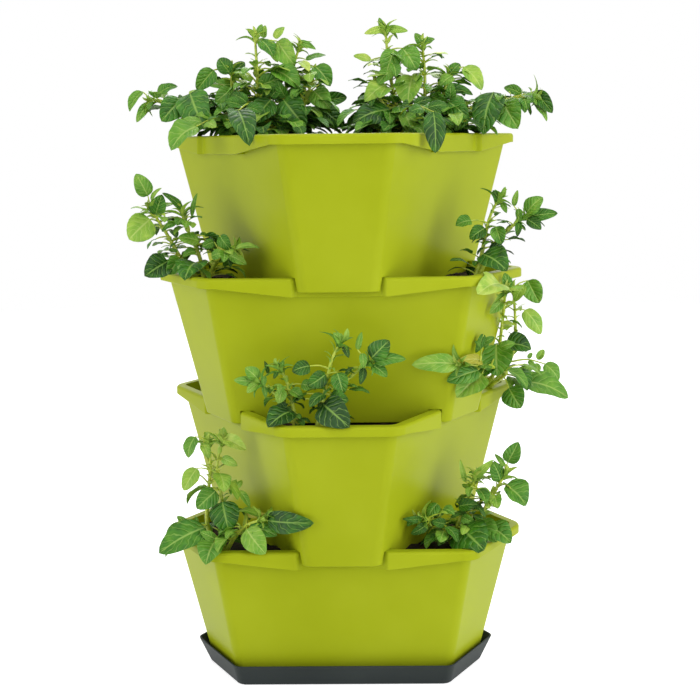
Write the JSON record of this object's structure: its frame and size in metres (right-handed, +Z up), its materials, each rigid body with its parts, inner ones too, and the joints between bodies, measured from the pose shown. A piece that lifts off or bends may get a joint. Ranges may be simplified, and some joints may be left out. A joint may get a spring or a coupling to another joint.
{
  "type": "vertical planter tower",
  "caption": "Stacked three-cornered pots, each turned against the one below so its corners hook over the rim, on a saucer, with soil and potato plants in the open corners.",
  "frame": {"origin": "middle of the saucer's flat underside, on the ground", "axes": "+Z up through the stack, -Y to the front, +X to the right seen from the front"},
  "size_m": [0.572, 0.4703, 0.8477],
  "materials": {
    "pot_plastic": "lime green, satin moulded",
    "saucer_plastic": "dark grey, satin moulded",
    "potting_soil": "dark brown crumbly earth",
    "foliage": "fresh green leaves"
  },
  "bodies": {
    "saucer": {"saucer": "saucer_plastic"},
    "first": {"pot_first": "pot_plastic", "soil_first": "potting_soil", "plant_first_left": "foliage", "plant_first_right": "foliage", "plant_first_back": "foliage"},
    "second": {"pot_second": "pot_plastic", "soil_second": "potting_soil", "plant_second_front": "foliage", "plant_second_young": "foliage", "plant_second_right": "foliage"},
    "third": {"pot_third": "pot_plastic", "soil_third": "potting_soil", "plant_third_left": "foliage", "plant_third_right": "foliage", "plant_third_back": "foliage"},
    "top": {"pot_top": "pot_plastic", "soil_top": "potting_soil", "plant_top_left": "foliage", "plant_top_right": "foliage"}
  },
  "joints": [
    {"name": "lift_first", "type": "slide", "parent": "saucer", "child": "first", "axis": [0, 0, 1], "range_m": [0, 0.1]},
    {"name": "lift_second", "type": "slide", "parent": "first", "child": "second", "axis": [0, 0, 1], "range_m": [0, 0.1]},
    {"name": "lift_third", "type": "slide", "parent": "second", "child": "third", "axis": [0, 0, 1], "range_m": [0, 0.1]},
    {"name": "lift_top", "type": "slide", "parent": "third", "child": "top", "axis": [0, 0, 1], "range_m": [0, 0.1]}
  ]
}
